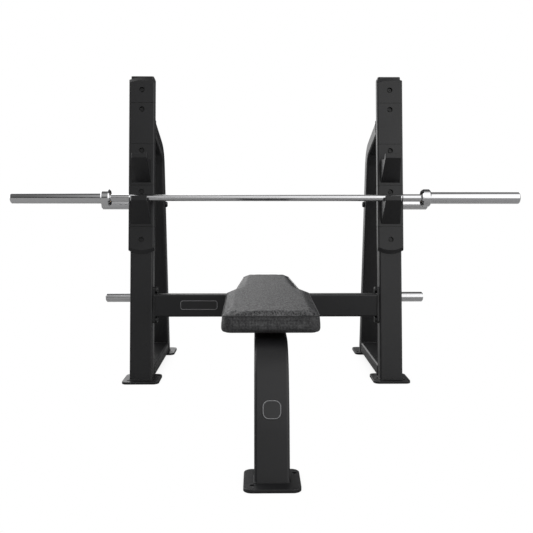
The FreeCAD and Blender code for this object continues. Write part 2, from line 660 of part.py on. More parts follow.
def pad_cushion():
    """Foam and cover as one solid, bevelled round its top, with the board let in below."""
    edge_height = PAD_TOP_HEIGHT - PAD_BEVEL_DROP
    band = rounded_pad_block(0, PAD_BOTTOM, edge_height)
    low = pad_outline(SLIVER, edge_height).OuterWire
    high = pad_outline(PAD_BEVEL_WIDTH, PAD_TOP_HEIGHT).OuterWire
    crown = Part.makeLoft([low, high], True, True)
    trim = rounded_pad_block(0, edge_height - 1, PAD_TOP_HEIGHT + 1)
    cushion = band.fuse(crown.common(trim))
    pocket_top = PAD_BOTTOM + BOARD_THICKNESS + FIT_GAP
    pocket = rounded_pad_block(BOARD_INSET - FIT_GAP, PAD_BOTTOM - 1, pocket_top)
    return cushion.cut(pocket).removeSplitter()


def pad_bolt_spots():
    spots = []
    for y in (FRONT_BRACKET_Y, REAR_BRACKET_Y):
        for side in (-1, 1):
            spots.append((side * PAD_BOLT_SPREAD / 2, y))
    return spots


def pad_board():
    top = PAD_BOTTOM + BOARD_THICKNESS
    board = rounded_pad_block(BOARD_INSET, PAD_BOTTOM, top)
    for x, y in pad_bolt_spots():
        board = board.cut(rod_z(M8_INSERT + FIT_GAP, PAD_BOTTOM - 1, top + 1, x, y))
    return board


def pad_bracket(y):
    """Channel across the spine, open side down, that carries the board."""
    bottom = BEAM_TOP
    half = BRACKET_LENGTH / 2
    channel = box(-half, half, y - BRACKET_WIDTH / 2, y + BRACKET_WIDTH / 2, bottom, PAD_BOTTOM)
    hollow = box(
        -half - 1, half + 1,
        y - BRACKET_WIDTH / 2 + BRACKET_WALL, y + BRACKET_WIDTH / 2 - BRACKET_WALL,
        bottom - 1, PAD_BOTTOM - BRACKET_WALL,
    )
    channel = channel.cut(hollow)
    for x, bolt_y in pad_bolt_spots():
        channel = channel.cut(rod_z(M8_SHANK + HOLE_CLEARANCE, bottom, PAD_BOTTOM + 1, x, bolt_y))
    return channel


def pad_bolts():
    grip = BRACKET_WALL + BOARD_THICKNESS - TIP_CLEARANCE
    under_head = PAD_BOTTOM - BRACKET_WALL
    return [cap_screw(*M8_SIZES, grip, V(x, y, under_head), V(0, 0, 1)) for x, y in pad_bolt_spots()]


def pad_tee_nuts():
    top = PAD_BOTTOM + BOARD_THICKNESS
    nuts = []
    for x, y in pad_bolt_spots():
        barrel = rod_z(M8_INSERT, PAD_BOTTOM, top, x, y)
        nuts.append(barrel.cut(rod_z(M8_SHANK + THREAD_CLEARANCE, PAD_BOTTOM, top, x, y)))
    return nuts


# ---------------------------------------------------------------- liners
def liner_block(low, high):
    """U-shaped plastic wrap over the tube's face and sides."""
    half = HALF_TUBE + LINER_SIDE
    block = box(-half, half, -LINER_FRONT, LINER_WRAP, low, high)
    front = [edge for edge in edges_along(block, V(0, 0, 1)) if edge.Vertexes[0].Point.y < 0]
    block = block.makeFillet(LINER_CORNER, front)
    seat = HALF_TUBE + FIT_GAP
    return block.cut(box(-seat, seat, -FIT_GAP, LINER_WRAP + 1, low - 1, high + 1))


def screw_recess(along):
    recess = rod_y(SCREW_RECESS_RADIUS, -LINER_FRONT - 1, -LINER_FRONT + SCREW_RECESS_DEPTH, 0, along)
    return recess.fuse(rod_y(M8_SHANK + HOLE_CLEARANCE, -LINER_FRONT, 1, 0, along))


def arc_end(edge_at, sagitta, outward):
    """Everything beyond an arched end of the liner run; outward is +1 for the top."""
    half = HALF_TUBE + LINER_SIDE + 1
    left = V(-half, 0, edge_at)
    middle = V(0, 0, edge_at + outward * sagitta)
    right = V(half, 0, edge_at)
    far = edge_at + outward * 10 * sagitta
    outline = [
        Part.Arc(left, middle, right).toShape(),
        Part.makeLine(right, V(half, 0, far)),
        Part.makeLine(V(half, 0, far), V(-half, 0, far)),
        Part.makeLine(V(-half, 0, far), left),
    ]
    return Part.Face(Part.Wire(outline))


def arched(block, edge_at, sagitta, outward):
    """Trim a liner's end to an arch and bevel the front of it."""
    away = arc_end(edge_at, sagitta, outward)
    away.translate(V(0, -LINER_FRONT - 1, 0))
    block = block.cut(away.extrude(V(0, LINER_FRONT + LINER_WRAP + 2, 0)))
    rise = LINER_BEVEL_RISE * (LINER_BEVEL_RUN + 1) / LINER_BEVEL_RUN
    low = arc_end(edge_at - outward * rise, sagitta, outward)
    low.translate(V(0, -LINER_FRONT - 1, 0))
    high = arc_end(edge_at, sagitta, outward)
    high.translate(V(0, -LINER_FRONT + LINER_BEVEL_RUN, 0))
    wedge = Part.makeLoft([low.OuterWire, high.OuterWire], True, True)
    return block.cut(wedge)


def plain_liner():
    block = liner_block(SEAMS[1] + LINER_SEAM / 2, SEAMS[0] - LINER_SEAM / 2)
    return on_upright(block.cut(screw_recess(SCREWS[1])))


def top_liner():
    block = liner_block(SEAMS[0] + LINER_SEAM / 2, LINER_TOP_END + LINER_TOP_SAGITTA + 1)
    block = arched(block, LINER_TOP_END, LINER_TOP_SAGITTA, 1)
    return on_upright(block.cut(screw_recess(SCREWS[0])))


def bottom_liner():
    block = liner_block(LINER_BOTTOM_END - LINER_BOTTOM_SAGITTA - 1, SEAMS[3] - LINER_SEAM / 2)
    block = arched(block, LINER_BOTTOM_END, LINER_BOTTOM_SAGITTA, -1)
    return on_upright(block.cut(screw_recess(SCREWS[4])))


def level_at(out, saddle):
    """Distance along the upright where a level line through the bar's seat is."""
    return saddle + (BAR_OUT - out) * math.tan(LEAN)


def hook_horn(saddle):
    """Wedge with a level saddle and an upturned lip."""
    lip = saddle + HOOK_LIP
    lip_inner = HOOK_REACH - HOOK_LIP_TOP
    lip_root = HOOK_REACH - HOOK_LIP_ROOT
    side = [
        (0, saddle - HOOK_DROP - LINER_FRONT),
        (-LINER_FRONT, saddle - HOOK_DROP),
        (-HOOK_REACH, lip - HOOK_NOSE),
        (-HOOK_REACH, lip),
        (-lip_inner, lip),
        (-lip_root, level_at(lip_root, saddle)),
        (0, level_at(0, saddle)),
    ]
    horn = prism_x(side, -HOOK_HALF_WIDTH, HOOK_HALF_WIDTH)
    across = edges_along(horn, V(1, 0, 0))
    root = [edge for edge in across if abs(edge.Vertexes[0].Point.y + lip_root) < SLIVER]
    horn = horn.makeFillet(HOOK_LIP_ROOT / 2, root)
    low = saddle - 2 * HOOK_DROP
    high = saddle + HOOK_DROP
    for side_sign, taper in ((-1, HOOK_TAPER_INNER), (1, HOOK_TAPER_OUTER)):
        outline = [
            V(side_sign * HOOK_HALF_WIDTH, -LINER_FRONT, low),
            V(side_sign * (HOOK_HALF_WIDTH - taper), -HOOK_REACH, low),
            V(side_sign * 2 * HOOK_HALF_WIDTH, -HOOK_REACH - 1, low),
            V(side_sign * 2 * HOOK_HALF_WIDTH, -LINER_FRONT, low),
        ]
        wedge = Part.Face(Part.makePolygon(outline + outline[:1])).extrude(V(0, 0, high - low))
        horn = horn.cut(wedge)
    nose = [
        edge for edge in horn.Edges
        if edge.BoundBox.YMax < -lip_inner + 0.01 and edge.BoundBox.ZMin > lip - HOOK_NOSE - 0.01
    ]
    return horn.makeFillet(HOOK_EDGE_ROUND, nose)


def hook_liner(step):
    block = liner_block(SEAMS[step + 1] + LINER_SEAM / 2, SEAMS[step] - LINER_SEAM / 2)
    horn = hook_horn(SADDLES[step - 1])
    horn = horn.cut(box(-BIG, BIG, -FIT_GAP, BIG, -BIG, BIG))
    block = block.fuse(horn).removeSplitter()
    return on_upright(block.cut(screw_recess(SCREWS[step + 1])))


def liner_screws():
    under_head = -LINER_FRONT + SCREW_RECESS_DEPTH
    screws = []
    for along in SCREWS:
        screw = cap_screw(*M8_SIZES, M8_INSERT_LENGTH, V(0, under_head, along), V(0, 1, 0))
        screws.append(on_upright(screw))
    return screws


def liner_inserts():
    """Rivet nuts set in the upright's face."""
    inserts = []
    for along in SCREWS:
        barrel = rod_y(M8_INSERT, 0, M8_INSERT_LENGTH, 0, along)
        flange = rod_y(M8_INSERT + INSERT_FLANGE, TUBE_WALL, TUBE_WALL + INSERT_FLANGE, 0, along)
        bore = rod_y(M8_SHANK + THREAD_CLEARANCE, -1, M8_INSERT_LENGTH + 1, 0, along)
        inserts.append(on_upright(barrel.fuse(flange).cut(bore)))
    return inserts


# ---------------------------------------------------------------- barbell
def at_bar(shape):
    placed = shape.copy()
    placed.translate(V(0, BAR_Y, BAR_Z))
    return placed


def shaft_end():
    """Where the shaft stops inside the sleeve."""
    return BAR_END - END_PLUG_LENGTH - END_PLAY


def bar_shaft():
    middle = rod_x(SHAFT_RADIUS, -SHOULDER_FROM, SHOULDER_FROM, 0, 0)
    end = COLLAR_FROM - END_PLAY
    groove = shaft_end() - 2 * RING_WIDTH
    profile = [
        (SHOULDER_FROM, 0),
        (SHOULDER_FROM, SHAFT_RADIUS),
        (SHOULDER_FROM + SHOULDER_TAPER, SHOULDER_RADIUS),
        (end, SHOULDER_RADIUS),
        (end, SHAFT_RADIUS),
        (groove, SHAFT_RADIUS),
        (groove, SHAFT_RADIUS - RING_GROOVE),
        (groove + RING_WIDTH, SHAFT_RADIUS - RING_GROOVE),
        (groove + RING_WIDTH, SHAFT_RADIUS),
        (shaft_end(), SHAFT_RADIUS),
        (shaft_end(), 0),
    ]
    right = turned_x(profile)
    return at_bar(middle.fuse(right).fuse(mirrored(right)).removeSplitter())


def retaining_rings():
    groove = shaft_end() - 2 * RING_WIDTH
    ring = turned_x([
        (groove, SHAFT_RADIUS - RING_GROOVE),
        (groove + RING_WIDTH, SHAFT_RADIUS - RING_GROOVE),
        (groove + RING_WIDTH, SHAFT_RADIUS + RING_GROOVE),
        (groove, SHAFT_RADIUS + RING_GROOVE),
    ])
    return [at_bar(ring), at_bar(mirrored(ring))]


def sleeve():
    """Hollow plate sleeve, turned down at its inner end where the collar is pressed on."""
    tube = turned_x([
        (COLLAR_FROM, SLEEVE_BORE),
        (COLLAR_FROM, COLLAR_SEAT),
        (COLLAR_FROM + COLLAR_WIDTH, COLLAR_SEAT),
        (COLLAR_FROM + COLLAR_WIDTH, SLEEVE_RADIUS),
        (BAR_END - SLEEVE_CHAMFER, SLEEVE_RADIUS),
        (BAR_END, SLEEVE_RADIUS - SLEEVE_CHAMFER),
        (BAR_END, SLEEVE_BORE),
    ])
    return at_bar(tube)


def collar():
    inner_nose = COLLAR_RADIUS - COLLAR_INNER_CHAMFER
    ring = turned_x([
        (COLLAR_FROM, COLLAR_SEAT),
        (COLLAR_FROM, inner_nose),
        (COLLAR_FROM + COLLAR_INNER_CHAMFER, COLLAR_RADIUS),
        (COLLAR_FROM + COLLAR_WIDTH - COLLAR_OUTER_CHAMFER, COLLAR_RADIUS),
        (COLLAR_FROM + COLLAR_WIDTH, COLLAR_RADIUS - COLLAR_OUTER_CHAMFER),
        (COLLAR_FROM + COLLAR_WIDTH, COLLAR_SEAT),
    ])
    return at_bar(ring)


def bushings():
    """Bronze bushings pressed in both ends of the sleeve's bore."""
    starts = (COLLAR_FROM + BUSHING_INSET, shaft_end() - 2 * RING_WIDTH - END_PLAY - BUSHING_LENGTH)
    rings = []
    for start in starts:
        outline = [
            (start, SHAFT_RADIUS + RUNNING_CLEARANCE),
            (start + BUSHING_LENGTH, SHAFT_RADIUS + RUNNING_CLEARANCE),
            (start + BUSHING_LENGTH, SLEEVE_BORE),
            (start, SLEEVE_BORE),
        ]
        rings.append(at_bar(turned_x(outline)))
    return rings


def end_plug():
    rim = BAR_END - END_PLUG_INSET
    plug = turned_x([
        (BAR_END - END_PLUG_LENGTH, 0),
        (BAR_END - END_PLUG_LENGTH, SLEEVE_BORE),
        (rim, SLEEVE_BORE),
        (rim - END_PLUG_DISH, SLEEVE_BORE - END_PLUG_RIM),
        (rim - END_PLUG_DISH, 0),
    ])
    return at_bar(plug)


# ---------------------------------------------------------------- storage pegs
def storage_peg(height):
    start = FRAME_X + HALF_TUBE
    end = start + PEG_LENGTH
    peg = turned_x([
        (start, M16_SHANK + THREAD_CLEARANCE),
        (start, PEG_RADIUS),
        (end - PEG_CHAMFER, PEG_RADIUS),
        (end - PEG_WALL + 1, PEG_RADIUS - PEG_WALL),
        (start + PEG_BASE, PEG_RADIUS - PEG_WALL),
        (start + PEG_BASE, M16_SHANK + THREAD_CLEARANCE),
    ])
    peg.translate(V(0, rear_leg_centre_y(height), height))
    return peg


def peg_end_cap(height):
    end = FRAME_X + HALF_TUBE + PEG_LENGTH
    bore = PEG_RADIUS - PEG_WALL
    cap = turned_x([
        (end - PEG_CAP_LENGTH, 0),
        (end - PEG_CAP_LENGTH, bore - FIT_GAP),
        (end - PEG_WALL, bore - FIT_GAP),
        (end, bore - PEG_CAP_BEVEL),
        (end, 0),
    ])
    cap.translate(V(0, rear_leg_centre_y(height), height))
    return cap


def peg_bolt(height):
    """Bolt through the leg from the bench side into the peg's base."""
    start = V(FRAME_X - HALF_TUBE - M16_WASHER_THICKNESS, rear_leg_centre_y(height), height)
    length = M16_WASHER_THICKNESS + TUBE_WIDTH + PEG_BOLT_GRIP
    return cap_screw(*M16_SIZES, length, start, V(1, 0, 0))


def peg_washer(height):
    y = rear_leg_centre_y(height)
    return washer_x(FRAME_X - HALF_TUBE - M16_WASHER_THICKNESS, y, height)


# ---------------------------------------------------------------- badges
def beam_badge():
    face = BEAM_Y - BEAM_DEPTH / 2
    middle = BEAM_CENTRE_HEIGHT + BEAM_BADGE_RISE
    badge = box(
        BEAM_BADGE_X - BEAM_BADGE_LENGTH / 2, BEAM_BADGE_X + BEAM_BADGE_LENGTH / 2,
        face - BADGE_THICKNESS, face,
        middle - BEAM_BADGE_HEIGHT / 2, middle + BEAM_BADGE_HEIGHT / 2,
    )
    return badge.makeFillet(BEAM_BADGE_CORNER, edges_along(badge, V(0, 1, 0)))


def leg_badge():
    """Square blank badge with round corners, flat on the front of the bench's leg."""
    foot_y, straight = spine_start()
    lean = math.radians(SPINE_FOOT_LEAN)
    knee = FOOT_THICKNESS + straight * math.cos(lean) + HALF_DEPTH * math.sin(lean)
    radius = SPINE_GENTLE_RADIUS + HALF_DEPTH
    turned = math.asin(math.sin(lean) + max(0.0, LEG_BADGE_HEIGHT - knee) / radius)
    rise = min(LEG_BADGE_HEIGHT, knee) - FOOT_THICKNESS
    y = FRONT_EDGE + SPINE_SETBACK + rise * math.tan(lean)
    y = y + radius * (math.cos(lean) - math.cos(turned))
    half = LEG_BADGE_SIZE / 2
    face = -BADGE_THICKNESS - 1
    plate = box(-half, half, face, 1, -half, half)
    plate = plate.makeFillet(LEG_BADGE_CORNER, edges_along(plate, V(0, 1, 0)))
    plate = plate.makeChamfer(BADGE_EDGE, [edge for edge in plate.Edges if edge.BoundBox.YMax < face + 0.1])
    badge = leaning(plate, 0, y, math.degrees(turned))
    badge.translate(V(0, 0, LEG_BADGE_HEIGHT))
    return badge.cut(bench_spine_core())


def bench_spine_core():
    """Solid outer form of the leg, for fitting the badge to its face."""
    foot_y, straight = spine_start()
    start = V(0, foot_y, FOOT_THICKNESS)
    bends = [
        ("line", straight),
        ("arc", SPINE_GENTLE_RADIUS, SPINE_KNEE_LEAN),
    ]
    path, top = walk(start, SPINE_FOOT_LEAN, bends)
    return swept_block(path, start, SPINE_FOOT_LEAN, TUBE_WIDTH, TUBE_DEPTH, TUBE_CORNER)


# ---------------------------------------------------------------- nodes
def both_sides(nodes, name, shape):
    nodes["right_" + name] = shape
    nodes["left_" + name] = mirrored(shape)


def build():
    nodes = {}
    both_sides(nodes, "upright", upright())
    both_sides(nodes, "rear_leg", rear_leg())
    both_sides(nodes, "base_rail", base_rail())
    front_foot = foot(1, ANCHOR_INSET_X, ANCHOR_BESIDE_TUBE)
    both_sides(nodes, "front_foot", placed_foot(FRAME_X, FRONT_FOOT_Y, front_foot))
    rear_foot = foot(-1, ANCHOR_BESIDE_TUBE, ANCHOR_INSET_X)
    both_sides(nodes, "rear_foot", placed_foot(FRAME_X, REAR_EDGE - FOOT_LENGTH, rear_foot))
    nodes["upright_caps"] = halves(upright_cap())

    nodes["crossbeam"] = crossbeam()
    both_sides(nodes, "beam_flange", beam_flange())
    nodes["beam_bolts"] = group(beam_bolts() + [mirrored(bolt) for bolt in beam_bolts()])
    nodes["beam_washers"] = group(beam_washers() + [mirrored(ring) for ring in beam_washers()])
    nodes["beam_nuts"] = group(beam_nuts() + [mirrored(piece) for piece in beam_nuts()])

    bench_foot = foot(-1, ANCHOR_INSET_X, ANCHOR_BESIDE_TUBE)
    nodes["bench_foot"] = placed_foot(0, FRONT_EDGE, bench_foot)
    nodes["bench_spine"] = bench_spine()
    nodes["spine_flange"] = spine_flange()
    nodes["spine_bolts"] = group(spine_bolts())
    nodes["spine_nuts"] = group(spine_nuts())

    nodes["pad_bracket_front"] = pad_bracket(FRONT_BRACKET_Y)
    nodes["pad_bracket_rear"] = pad_bracket(REAR_BRACKET_Y)
    nodes["pad_board"] = pad_board()
    nodes["pad_cushion"] = pad_cushion()
    nodes["pad_bolts"] = group(pad_bolts())
    nodes["pad_tee_nuts"] = group(pad_tee_nuts())

    both_sides(nodes, "top_liner", top_liner())
    both_sides(nodes, "plain_liner", plain_liner())
    both_sides(nodes, "upper_hook", hook_liner(1))
    both_sides(nodes, "lower_hook", hook_liner(2))
    both_sides(nodes, "bottom_liner", bottom_liner())
    nodes["liner_screws"] = group(liner_screws() + [mirrored(screw) for screw in liner_screws()])
    nodes["liner_inserts"] = group(liner_inserts() + [mirrored(piece) for piece in liner_inserts()])

    both_sides(nodes, "upper_peg", storage_peg(PEG_HEIGHTS[0]))
    both_sides(nodes, "lower_peg", storage_peg(PEG_HEIGHTS[1]))
    for name, make in (("peg_end_caps", peg_end_cap), ("peg_bolts", peg_bolt), ("peg_washers", peg_washer)):
        pieces = [make(height) for height in PEG_HEIGHTS]
        nodes[name] = group(pieces + [mirrored(piece) for piece in pieces])

    nodes["beam_badge"] = beam_badge()
    nodes["leg_badge"] = leg_badge()

    nodes["bar_shaft"] = bar_shaft()
    nodes["retaining_rings"] = group(retaining_rings())
    both_sides(nodes, "sleeve", sleeve())
    both_sides(nodes, "collar", collar())
    both_sides(nodes, "end_plug", end_plug())
    both_sides(nodes, "bushings", group(bushings()))
    return nodes


os.makedirs("parts", exist_ok=True)
for node, shape in build().items():
    shape.exportStep("parts/" + node + ".step")
    print(node, len(shape.Solids), "solids", round(shape.Volume / 1000, 1), "cm3", shape.isValid())
print("bar axis", round(BAR_Y, 1), round(BAR_Z, 1))
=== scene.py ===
import json
import math

import bpy
from mathutils import Matrix, Vector
from mathutils.bvhtree import BVHTree
from mathutils.kdtree import KDTree


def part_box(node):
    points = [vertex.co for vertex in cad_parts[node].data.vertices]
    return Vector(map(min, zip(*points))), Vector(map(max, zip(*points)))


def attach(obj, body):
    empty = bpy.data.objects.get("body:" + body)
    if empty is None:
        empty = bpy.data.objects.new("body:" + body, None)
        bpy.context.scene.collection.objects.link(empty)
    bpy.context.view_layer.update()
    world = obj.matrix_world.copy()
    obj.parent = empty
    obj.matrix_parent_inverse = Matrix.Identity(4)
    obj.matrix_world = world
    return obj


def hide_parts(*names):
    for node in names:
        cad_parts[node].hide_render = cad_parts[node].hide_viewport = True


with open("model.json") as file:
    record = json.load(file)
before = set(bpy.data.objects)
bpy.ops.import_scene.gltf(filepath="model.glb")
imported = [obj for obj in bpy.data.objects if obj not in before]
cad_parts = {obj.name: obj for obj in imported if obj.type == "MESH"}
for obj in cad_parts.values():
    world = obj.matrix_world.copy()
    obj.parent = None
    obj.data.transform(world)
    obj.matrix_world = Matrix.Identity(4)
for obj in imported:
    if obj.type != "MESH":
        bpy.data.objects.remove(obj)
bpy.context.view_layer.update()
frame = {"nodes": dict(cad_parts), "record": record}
NODES = frame["nodes"]

# Lengths in metres.  X runs along the barbell, -Y is the foot end, +Z is up.
TUBE_WIDTH = 0.100
TUBE_DEPTH = 0.060
TUBE_CORNER = 0.008
FOOT_TOP = 0.010
FRAME_X = 0.548
UPRIGHT_LEAN = math.radians(7.46)
LEG_LEAN = math.radians(-6.7)
ARM_LEAN = math.radians(-70.4)
SPINE_LEAN = math.radians(13.0)
RAIL_HEIGHT = 0.050
BAR_RADIUS = 0.014
UPRIGHT_SETBACK = 0.032      # foot's end edge to the tube's face, as for the two below
LEG_SETBACK = 0.0605
SPINE_SETBACK = 0.044
BEND_HEIGHT = 1.026          # floor to where the rear leg's and arm's centre lines cross
RAIL_MIDDLE = 0.5            # along Y, between the upright and the rear leg
BEAM_HEIGHT = 0.100
BEAM_DEPTH = 0.050
WELD_LIFT = 0.0005           # weld's line out of the face that it lies on
WELD_STEP = 0.0012
RIM_RADIUS = 0.0011          # raised rims and the pad's seam


# ---------------------------------------------------------------- meshes
def new_object(name, verts, faces, smooth=True):
    mesh = bpy.data.meshes.new(name)
    mesh.from_pydata([tuple(v) for v in verts], [], faces)
    mesh.update()
    if smooth:
        mesh.polygons.foreach_set("use_smooth", [True] * len(mesh.polygons))
    obj = bpy.data.objects.new(name, mesh)
    bpy.context.scene.collection.objects.link(obj)
    return obj


def append_tube(verts, faces, path, radius, sides=8, ripple=0.0, ripples=0):
    """Round bead along a closed path; ripples is the number of waves in its radius."""
    count = len(path)
    first = len(verts)
    for i, point in enumerate(path):
        along = (path[(i + 1) % count] - path[i - 1]).normalized()
        side = along.cross(Vector((0.31, 0.17, 0.93))).normalized()
        up = along.cross(side)
        r = radius * (1 + ripple * math.cos(2 * math.pi * ripples * i / count))
        for k in range(sides):
            a = 2 * math.pi * k / sides
            verts.append(point + side * (r * math.cos(a)) + up * (r * math.sin(a)))
    for i in range(count):
        ring, next_ring = first + i * sides, first + (i + 1) % count * sides
        for k in range(sides):
            m = (k + 1) % sides
            faces.append((ring + k, ring + m, next_ring + m, next_ring + k))


def rounded_rectangle(width, height, corner, step=0.002):
    """Points round a rectangle centred on the origin, evenly spaced."""
    pieces = []
    hx, hy = width / 2 - corner, height / 2 - corner
    for cx, cy, start in ((hx, hy, 0), (-hx, hy, 90), (-hx, -hy, 180), (hx, -hy, 270)):
        for k in range(9):
            a = math.radians(start + 90 * k / 8)
            pieces.append(Vector((cx + corner * math.cos(a), cy + corner * math.sin(a))))
    return resampled(pieces, step)


def resampled(points, step):
    """Evenly spaced points round a closed outline."""
    ends = points + points[:1]
    lengths = [0.0]
    for a, b in zip(ends, ends[1:]):
        lengths.append(lengths[-1] + (b - a).length)
    count = max(3, round(lengths[-1] / step))
    out = []
    at = 0
    for k in range(count):
        s = lengths[-1] * k / count
        while at < len(lengths) - 2 and lengths[at + 1] < s:
            at += 1
        span = lengths[at + 1] - lengths[at]
        t = (s - lengths[at]) / span if span > 0 else 0.0
        out.append(ends[at].lerp(ends[at + 1], t))
    return out


# ---------------------------------------------------------------- materials
def principled(name, **sockets):
    mat = bpy.data.materials.new(name)
    mat.use_nodes = True
    shader = mat.node_tree.nodes["Principled BSDF"]
    for key, value in sockets.items():
        socket = shader.inputs[key.replace("_", " ")]
        socket.default_value = (*value, 1.0) if isinstance(value, tuple) else value
    return mat, mat.node_tree, shader


def node(tree, kind, **values):
    made = tree.nodes.new(kind)
    for key, value in values.items():
        if hasattr(made, key):
            setattr(made, key, value)
        else:
            made.inputs[key.replace("_", " ")].default_value = value
    return made


def noise(tree, vector, scale, detail=2.0, roughness=0.5):
    made = node(tree, "ShaderNodeTexNoise", Scale=scale, Detail=detail, Roughness=roughness)
    tree.links.new(vector, made.inputs["Vector"])
    return made.outputs["Fac"]


def remap(tree, value, low, high, to_low, to_high, smooth=False):
    made = node(tree, "ShaderNodeMapRange")
    if smooth:
        made.interpolation_type = "SMOOTHSTEP"
    for key, number in (("From Min", low), ("From Max", high), ("To Min", to_low), ("To Max", to_high)):
        made.inputs[key].default_value = number
    tree.links.new(value, made.inputs["Value"])
    return made.outputs["Result"]


def blended(tree, factor, dark, light):
    ramp = node(tree, "ShaderNodeMix", data_type="RGBA")
    tree.links.new(factor, ramp.inputs["Factor"])
    for socket, colour in ((6, dark), (7, light)):
        ramp.inputs[socket].default_value = (*colour, 1.0)
    return ramp.outputs[2]


def bump(tree, height, distance, strength=1.0, before=None):
    made = node(tree, "ShaderNodeBump", Strength=strength, Distance=distance)
    tree.links.new(height, made.inputs["Height"])
    if before is not None:
        tree.links.new(before, made.inputs["Normal"])
    return made.outputs["Normal"]


def position(tree):
    """Place on the object, in the row frame at rest, in metres."""
    return node(tree, "ShaderNodeTexCoord").outputs["Object"]


def grained(name, dark, light, rough, scale, distance, patch=6.0):
    """Black paint or plastic: a fine even grain, with broad faint changes of tone and gloss."""
    mat, tree, shader = principled(name, Specular_IOR_Level=0.5)
    place = position(tree)
    broad = noise(tree, place, patch, 3.0)
    tree.links.new(blended(tree, broad, dark, light), shader.inputs["Base Color"])
    fine = noise(tree, place, scale, 2.0, 0.6)
    tree.links.new(remap(tree, broad, 0.3, 0.7, rough - 0.04, rough + 0.04), shader.inputs["Roughness"])
    tree.links.new(bump(tree, fine, distance), shader.inputs["Normal"])
    return mat


def chrome(name, tint, rough, knurled=False):
    """Plated steel polished round the X axis, with hairlines; knurled bands are on the shaft's grips."""
    mat, tree, shader = principled(name, Metallic=1.0)
    place = position(tree)
    broad = noise(tree, place, 9.0, 3.0)
    dulled = tuple(c * 0.94 for c in tint)
    tree.links.new(blended(tree, broad, dulled, tint), shader.inputs["Base Color"])
    stretch = node(tree, "ShaderNodeMapping")
    stretch.inputs["Scale"].default_value = (1.0, 0.02, 0.02)
    tree.links.new(place, stretch.inputs["Vector"])
    lines = noise(tree, stretch.outputs["Vector"], 1800.0, 2.0, 0.7)
    normal = bump(tree, lines, 0.00001, 0.3)
    spread = remap(tree, broad, 0.3, 0.7, rough * 0.8, rough * 1.3)
    if knurled:
        height, grip = knurl(tree, place)
        normal = bump(tree, height, 0.00006, 0.8, normal)
        add = node(tree, "ShaderNodeMath", operation="MULTIPLY_ADD")
        tree.links.new(grip, add.inputs[0])
        add.inputs[1].default_value = 0.05
        tree.links.new(spread, add.inputs[2])
        spread = add.outputs[0]
    tree.links.new(spread, shader.inputs["Roughness"])
    tree.links.new(normal, shader.inputs["Normal"])
    return mat


def maths(tree, operation, a, b=None):
    made = node(tree, "ShaderNodeMath", operation=operation)
    for socket, value in ((0, a), (1, b)):
        if value is None:
            continue
        if isinstance(value, (int, float)):
            made.inputs[socket].default_value = value
        else:
            tree.links.new(value, made.inputs[socket])
    return made.outputs[0]


def knurl(tree, place):
    """Diamond knurling on the grips: its height, and 1 where there is any."""
    low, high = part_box("bar_shaft")
    axis_y, axis_z = (low.y + high.y) / 2, (low.z + high.z) / 2
    split = node(tree, "ShaderNodeSeparateXYZ")
    tree.links.new(place, split.inputs[0])
    x = maths(tree, "ABSOLUTE", split.outputs[0])
    angle = maths(tree, "ARCTAN2", maths(tree, "SUBTRACT", split.outputs[2], axis_z),
                  maths(tree, "SUBTRACT", split.outputs[1], axis_y))
    around = maths(tree, "MULTIPLY", angle, 30.0)
    lengthways = maths(tree, "MULTIPLY", x, 30.0 / BAR_RADIUS * 0.62)
    one = maths(tree, "SINE", maths(tree, "ADD", around, lengthways))
    two = maths(tree, "SINE", maths(tree, "SUBTRACT", around, lengthways))
    diamonds = maths(tree, "MULTIPLY", one, two)
    bands = None
    for start, end in ((0.0, 0.060), (0.190, 0.395), (0.409, 0.475)):
        past_start = maths(tree, "GREATER_THAN", x, start - 0.001)
        band = maths(tree, "MULTIPLY", past_start, maths(tree, "LESS_THAN", x, end))
        bands = band if bands is None else maths(tree, "ADD", bands, band)
    return maths(tree, "MULTIPLY", diamonds, bands), bands


def wood(name):
    mat, tree, shader = principled(name, Roughness=0.6)
    place = position(tree)
    stretch = node(tree, "ShaderNodeMapping")
    stretch.inputs["Scale"].default_value = (14.0, 1.0, 6.0)
    tree.links.new(place, stretch.inputs["Vector"])
    rings = noise(tree, stretch.outputs["Vector"], 6.0, 5.0, 0.6)
    stain = blended(tree, rings, (0.008, 0.007, 0.006), (0.020, 0.017, 0.015))
    tree.links.new(stain, shader.inputs["Base Color"])
    tree.links.new(bump(tree, rings, 0.0003, 0.5), shader.inputs["Normal"])
    return mat


